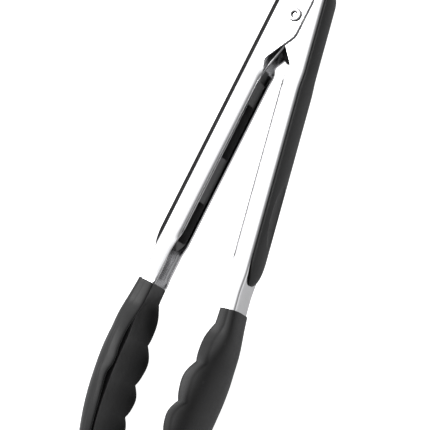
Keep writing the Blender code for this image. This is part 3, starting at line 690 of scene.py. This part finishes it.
def span(tree, source, low, high, at=(0.3, 0.7)):
    """A value from low to high over another value."""
    node = add(tree, "ShaderNodeMapRange")
    node.inputs["From Min"].default_value = at[0]
    node.inputs["From Max"].default_value = at[1]
    node.inputs["To Min"].default_value = low
    node.inputs["To Max"].default_value = high
    tree.links.new(source, node.inputs["Value"])
    return node.outputs["Result"]


def bump(tree, shader, source, strength, distance):
    node = add(tree, "ShaderNodeBump")
    node.inputs["Strength"].default_value = strength
    node.inputs["Distance"].default_value = distance
    tree.links.new(source, node.inputs["Height"])
    tree.links.new(node.outputs["Normal"], shader.inputs["Normal"])


def grey(v):
    """A grey that is very slightly cool."""
    return (v, v, v * 1.01, 1.0)


def steel_material(name, base, rough, grain):
    """Polished stainless steel with a faint grain along its length and uneven polish."""
    mat, tree, shader = new_material(name)
    shader.inputs["Metallic"].default_value = 1.0
    streaks = noise(tree, 260.0, 3.0, (1.0, 0.03, 1.0))
    cloud = noise(tree, 45.0, 5.0)
    tree.links.new(ramp(tree, cloud, grey(base * 0.96), grey(base)), shader.inputs["Base Color"])
    tree.links.new(span(tree, cloud, rough * 0.8, rough * 1.25), shader.inputs["Roughness"])
    bump(tree, shader, streaks, grain, 0.00004)
    return mat


def rivet_material(name, base, rough, grain):
    """Steel with painted shade: bright on faces that look along +Z, its colour darkened
    elsewhere, the far head included.
    """
    mat = steel_material(name, base, rough, grain)
    tree = mat.node_tree
    shader = tree.nodes["Principled BSDF"]
    flats = shader.inputs["Base Color"].links[0].from_socket
    coords = add(tree, "ShaderNodeTexCoord")
    facing = add(tree, "ShaderNodeVectorMath", operation="DOT_PRODUCT")
    facing.inputs[1].default_value = (0.0, 0.0, 1.0)
    tree.links.new(coords.outputs["Normal"], facing.inputs[0])
    # painted shade: the colour falls to a dark steel on faces turned away from +Z
    mix = add(tree, "ShaderNodeMix", data_type="RGBA")
    share = span(tree, facing.outputs["Value"], 0.0, 1.0, (0.60, 0.98))
    tree.links.new(share, mix.inputs["Factor"])
    mix.inputs["A"].default_value = grey(base * 0.14)
    tree.links.new(flats, mix.inputs["B"])
    tree.links.new(mix.outputs["Result"], shader.inputs["Base Color"])
    return mat


def black_material(name, base, rough, scale, grain, sheen):
    """Moulded black plastic or rubber with a fine texture, soft clouding, and sharp edges made
    lighter as wear and painted highlight.
    """
    mat, tree, shader = new_material(name)
    fine = noise(tree, scale, 6.0)
    cloud = noise(tree, 120.0, 4.0)
    geometry = add(tree, "ShaderNodeNewGeometry")
    # sharp edges are painted lighter: partly wear, partly painted highlight
    wear_and_highlight = span(tree, geometry.outputs["Pointiness"], 0.0, 1.0, (0.53, 0.62))
    body = ramp(tree, cloud, grey(base * 0.85), grey(base * 1.15))
    mix = add(tree, "ShaderNodeMix", data_type="RGBA")
    tree.links.new(wear_and_highlight, mix.inputs["Factor"])
    tree.links.new(body, mix.inputs["A"])
    mix.inputs["B"].default_value = grey(base * 1.8)
    tree.links.new(mix.outputs["Result"], shader.inputs["Base Color"])
    tree.links.new(span(tree, cloud, rough * 0.9, rough * 1.1), shader.inputs["Roughness"])
    shader.inputs["Specular IOR Level"].default_value = 0.3
    shader.inputs["Sheen Weight"].default_value = sheen
    shader.inputs["Sheen Roughness"].default_value = 0.4
    bump(tree, shader, fine, grain, 0.00006)
    return mat


def nylon_material(name):
    """Natural nylon, slightly translucent."""
    mat, tree, shader = new_material(name)
    cloud = noise(tree, 300.0, 4.0)
    low = (0.68, 0.67, 0.62, 1.0)
    high = (0.76, 0.75, 0.71, 1.0)
    tree.links.new(ramp(tree, cloud, low, high), shader.inputs["Base Color"])
    tree.links.new(span(tree, cloud, 0.4, 0.6), shader.inputs["Roughness"])
    shader.inputs["Subsurface Weight"].default_value = 0.1
    shader.inputs["Subsurface Scale"].default_value = 0.001
    bump(tree, shader, cloud, 0.15, 0.00005)
    return mat


# --- light, floor and camera -------------------------------------------------------


def build_world():
    """A studio with a wide soft light at the upper left and a greyer right side."""
    world = bpy.data.worlds.new("studio")
    world.use_nodes = True
    bpy.context.scene.world = world
    tree = world.node_tree
    background = tree.nodes["Background"]
    coords = add(tree, "ShaderNodeTexCoord")
    aim = add(tree, "ShaderNodeVectorMath", operation="DOT_PRODUCT")
    aim.inputs[1].default_value = Vector(BRIGHT_SIDE).normalized()
    tree.links.new(coords.outputs["Generated"], aim.inputs[0])
    colour = ramp(tree, aim.outputs["Value"], grey(0.22), grey(1.0), (-0.15, 0.72))
    tree.links.new(colour, background.inputs["Color"])
    background.inputs["Strength"].default_value = WORLD_STRENGTH


def area_light(name, place_at, aim_at, size, power):
    data = bpy.data.lights.new(name, "AREA")
    data.shape = "DISK"
    data.size = size
    data.energy = power
    lamp = bpy.data.objects.new(name, data)
    lamp.location = place_at
    toward = Vector(aim_at) - Vector(place_at)
    lamp.rotation_euler = toward.to_track_quat("-Z", "Y").to_euler()
    bpy.context.scene.collection.objects.link(lamp)
    lamp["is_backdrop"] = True


def build_floor():
    """A pale floor that is white to the camera and dimmer to the tongs."""
    mat, tree, shader = new_material("floor")
    cloud = noise(tree, 3.0, 2.0)
    tree.links.new(ramp(tree, cloud, grey(0.44), grey(0.46)), shader.inputs["Base Color"])
    shader.inputs["Roughness"].default_value = 0.9
    shader.inputs["Specular IOR Level"].default_value = 0.0
    shader.inputs["Emission Color"].default_value = (1.0, 1.0, 1.0, 1.0)
    path = add(tree, "ShaderNodeLightPath")
    glow = span(tree, path.outputs["Is Camera Ray"], FLOOR_GLOW, 1.0, (0.0, 1.0))
    tree.links.new(glow, shader.inputs["Emission Strength"])
    mesh = bpy.data.meshes.new("floor")
    size = FLOOR_HALF_WIDTH
    corners = [(-size, -size, 0), (size, -size, 0), (size, size, 0), (-size, size, 0)]
    mesh.from_pydata(corners, [], [(0, 1, 2, 3)])
    mesh.materials.append(mat)
    floor = bpy.data.objects.new("floor", mesh)
    floor.location.z = -FLOOR_DROP
    bpy.context.scene.collection.objects.link(floor)
    floor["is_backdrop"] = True


def build_camera():
    """Looks down on the tongs from the right, turned so that they slant."""
    flat = math.cos(CAMERA_HEIGHT)
    away = Vector((math.sin(CAMERA_TURN) * flat, -math.cos(CAMERA_TURN) * flat,
                   math.sin(CAMERA_HEIGHT)))
    right = Vector((0, 0, 1)).cross(away).normalized()
    up = away.cross(right)
    across = right * math.cos(CAMERA_ROLL) + up * math.sin(CAMERA_ROLL)
    upward = away.cross(across)
    data = bpy.data.cameras.new("camera")
    data.lens = CAMERA_LENS
    data.sensor_width = CAMERA_SENSOR
    camera = bpy.data.objects.new("camera", data)
    turned = Matrix((across, upward, away)).transposed().to_4x4()
    stand = Vector(CAMERA_TARGET) * MM + away * CAMERA_DISTANCE
    camera.matrix_world = Matrix.Translation(stand) @ turned
    bpy.context.scene.collection.objects.link(camera)
    bpy.context.scene.camera = camera
    camera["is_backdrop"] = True


# --- the whole scene ---------------------------------------------------------------

NODE_SLOTS = {
    "near_ear_washer": "washer",
    "far_ear_washer": "washer",
    "spring_bushing": "hard_plastic",
    "lock_slider": "slider",
    "left_grip_core": "core",
    "right_grip_core": "core",
    "left_head_core": "head_core",
    "right_head_core": "head_core",
    "left_head_rivet_1": "rivet",
    "left_head_rivet_2": "rivet",
    "right_head_rivet_1": "rivet",
    "right_head_rivet_2": "rivet",
    "tab_rivet_1": "rivet",
    "tab_rivet_2": "rivet",
}


def main():
    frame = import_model()
    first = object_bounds()
    looks = {
        "steel": steel_material("steel", 0.80, 0.14, 0.10),
        "rivet": rivet_material("rivet", 0.74, 0.22, 0.08),
        "spring_wire": steel_material("spring_wire", 0.45, 0.25, 0.15),
        "soft_grip": black_material("soft_grip", 0.013, 0.50, 2600.0, 0.25, 0.02),
        "hard_plastic": black_material("hard_plastic", 0.012, 0.32, 3000.0, 0.12, 0.0),
        "core": black_material("core", 0.045, 0.36, 3000.0, 0.12, 0.0),
        "head": black_material("head", 0.010, 0.46, 1800.0, 0.30, 0.02),
        "head_core": black_material("head_core", 0.020, 0.45, 3000.0, 0.12, 0.0),
        "slider": black_material("slider", 0.020, 0.40, 3000.0, 0.15, 0.0),
        "tab": black_material("tab", 0.020, 0.40, 2600.0, 0.20, 0.0),
        "washer": nylon_material("washer"),
    }
    for side, word in ((-1, "left"), (1, "right")):
        body = word + "_half"
        for piece, build, slot in (("arm", build_arm, "steel"), ("grip", build_grip, "soft_grip"),
                                   ("head", build_head, "head")):
            obj = build(side, f"{word}_{piece}_look", looks[slot])
            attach(obj, body)
            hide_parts(f"{word}_{piece}")
    rivet = build_rivet("pivot_rivet_look", looks["rivet"])
    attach(rivet, "left_half")
    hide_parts("pivot_rivet")
    spring = build_spring("torsion_spring_look", looks["spring_wire"])
    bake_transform(spring)
    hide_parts("torsion_spring")
    tab = build_tab("pull_tab_look", looks["tab"])
    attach(tab, "lock")
    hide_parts("pull_tab")
    for node, slot in NODE_SLOTS.items():
        mesh = frame["nodes"][node].data
        for i in range(len(mesh.materials)):
            mesh.materials[i] = looks[slot]
    build_world()
    area_light("key", (-0.5, 0.2, 0.8), (0, 0, 0), 0.5, 6.0)
    build_floor()
    build_camera()
    bpy.context.scene.view_settings.view_transform = "Standard"
    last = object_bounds()
    {"first": plain(first), "last": plain(last)}


def plain(value):
    """The same value with tuples and vectors as lists."""
    if isinstance(value, dict):
        return {key: plain(item) for key, item in value.items()}
    if isinstance(value, (list, tuple, Vector)):
        return [plain(item) for item in value]
    return float(value)


main()
